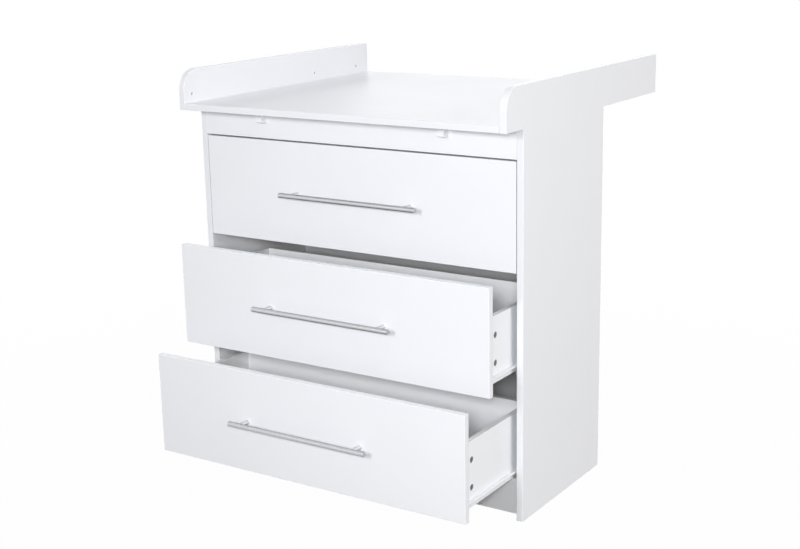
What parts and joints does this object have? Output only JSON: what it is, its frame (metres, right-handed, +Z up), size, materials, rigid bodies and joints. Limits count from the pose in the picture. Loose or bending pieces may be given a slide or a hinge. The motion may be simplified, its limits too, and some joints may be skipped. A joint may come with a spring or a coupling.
{
  "type": "changing dresser",
  "caption": "White changing dresser: drawers with inset fronts and bar handles on roller runners, under a deep changing deck with side guards.",
  "frame": {"origin": "on the floor under the middle of the plinth board", "axes": "+X to the right as seen from in front of the drawers, +Y towards the back, +Z up; drawers open towards -Y"},
  "size_m": [0.9, 0.972, 1],
  "materials": {
    "white_coated_board": "white melamine coated chipboard, satin",
    "white_foil_board": "white foil wrapped chipboard, matt",
    "white_hardboard": "white lacquered hardboard, matt",
    "white_runner_steel": "white epoxy powder coat, semi gloss",
    "nylon_roller": "white nylon, satin",
    "white_block_plastic": "white moulded plastic, satin",
    "brushed_handle_steel": "brushed steel",
    "zinc_fittings": "zinc die casting, dull",
    "zinc_plated_screws": "bright zinc plate",
    "beech_dowel": "plain fluted beech"
  },
  "bodies": {
    "cabinet": {"side_panel_right": "white_coated_board", "side_panel_left": "white_coated_board", "back_panel": "white_hardboard", "top_panel": "white_coated_board", "bottom_panel": "white_coated_board", "front_fascia": "white_coated_board", "plinth_board": "white_coated_board", "changing_deck": "white_coated_board", "guard_right": "white_coated_board", "guard_left": "white_coated_board", "deck_stop_blocks": "white_block_plastic", "cabinet_cam_locks": "zinc_fittings", "cabinet_cam_bolts": "zinc_plated_screws", "cabinet_dowels": "beech_dowel", "cabinet_screws": "zinc_plated_screws", "lower_cabinet_runner_right": "white_runner_steel", "lower_cabinet_runner_left": "white_runner_steel", "middle_cabinet_runner_right": "white_runner_steel", "middle_cabinet_runner_left": "white_runner_steel", "top_cabinet_runner_right": "white_runner_steel", "top_cabinet_runner_left": "white_runner_steel"},
    "lower_drawer": {"lower_drawer_front": "white_coated_board", "lower_drawer_side_right": "white_foil_board", "lower_drawer_side_left": "white_foil_board", "lower_drawer_back": "white_foil_board", "lower_drawer_bottom": "white_hardboard", "lower_drawer_runner_right": "white_runner_steel", "lower_drawer_runner_left": "white_runner_steel", "lower_drawer_fixings": "zinc_fittings", "lower_handle_bar": "brushed_handle_steel", "lower_handle_posts": "brushed_handle_steel", "lower_handle_screws": "zinc_plated_screws"},
    "middle_drawer": {"middle_drawer_front": "white_coated_board", "middle_drawer_side_right": "white_foil_board", "middle_drawer_side_left": "white_foil_board", "middle_drawer_back": "white_foil_board", "middle_drawer_bottom": "white_hardboard", "middle_drawer_runner_right": "white_runner_steel", "middle_drawer_runner_left": "white_runner_steel", "middle_drawer_fixings": "zinc_fittings", "middle_handle_bar": "brushed_handle_steel", "middle_handle_posts": "brushed_handle_steel", "middle_handle_screws": "zinc_plated_screws"},
    "top_drawer": {"top_drawer_front": "white_coated_board", "top_drawer_side_right": "white_foil_board", "top_drawer_side_left": "white_foil_board", "top_drawer_back": "white_foil_board", "top_drawer_bottom": "white_hardboard", "top_drawer_runner_right": "white_runner_steel", "top_drawer_runner_left": "white_runner_steel", "top_drawer_fixings": "zinc_fittings", "top_handle_bar": "brushed_handle_steel", "top_handle_posts": "brushed_handle_steel", "top_handle_screws": "zinc_plated_screws"},
    "lower_front_rollers": {"lower_front_rollers": "nylon_roller"},
    "lower_rear_rollers": {"lower_rear_rollers": "nylon_roller"},
    "middle_front_rollers": {"middle_front_rollers": "nylon_roller"},
    "middle_rear_rollers": {"middle_rear_rollers": "nylon_roller"},
    "top_front_rollers": {"top_front_rollers": "nylon_roller"},
    "top_rear_rollers": {"top_rear_rollers": "nylon_roller"}
  },
  "joints": [
    {"name": "lower_drawer_slide", "type": "slide", "parent": "cabinet", "child": "lower_drawer", "axis": [0, -1, 0], "range_m": [-0.226, 0]},
    {"name": "lower_front_roller_spin", "type": "hinge", "parent": "cabinet", "child": "lower_front_rollers", "pos_m": [0, -0.011, 0.1085], "axis": [1, 0, 0], "continuous": true},
    {"name": "lower_rear_roller_spin", "type": "hinge", "parent": "lower_drawer", "child": "lower_rear_rollers", "pos_m": [0, 0.038, 0.1047], "axis": [1, 0, 0], "continuous": true},
    {"name": "middle_drawer_slide", "type": "slide", "parent": "cabinet", "child": "middle_drawer", "axis": [0, -1, 0], "range_m": [-0.12, 0.106]},
    {"name": "middle_front_roller_spin", "type": "hinge", "parent": "cabinet", "child": "middle_front_rollers", "pos_m": [0, -0.011, 0.3615], "axis": [1, 0, 0], "continuous": true},
    {"name": "middle_rear_roller_spin", "type": "hinge", "parent": "middle_drawer", "child": "middle_rear_rollers", "pos_m": [0, 0.144, 0.3577], "axis": [1, 0, 0], "continuous": true},
    {"name": "top_drawer_slide", "type": "slide", "parent": "cabinet", "child": "top_drawer", "axis": [0, -1, 0], "range_m": [0, 0.226]},
    {"name": "top_front_roller_spin", "type": "hinge", "parent": "cabinet", "child": "top_front_rollers", "pos_m": [0, -0.011, 0.6145], "axis": [1, 0, 0], "continuous": true},
    {"name": "top_rear_roller_spin", "type": "hinge", "parent": "top_drawer", "child": "top_rear_rollers", "pos_m": [0, 0.264, 0.6107], "axis": [1, 0, 0], "continuous": true}
  ],
  "couplings": [
    {"joint": "lower_front_roller_spin", "follows": "lower_drawer_slide", "rad_per_m": 111.11},
    {"joint": "lower_rear_roller_spin", "follows": "lower_drawer_slide", "rad_per_m": 111.11},
    {"joint": "middle_front_roller_spin", "follows": "middle_drawer_slide", "rad_per_m": 111.11},
    {"joint": "middle_rear_roller_spin", "follows": "middle_drawer_slide", "rad_per_m": 111.11},
    {"joint": "top_front_roller_spin", "follows": "top_drawer_slide", "rad_per_m": 111.11},
    {"joint": "top_rear_roller_spin", "follows": "top_drawer_slide", "rad_per_m": 111.11}
  ]
}
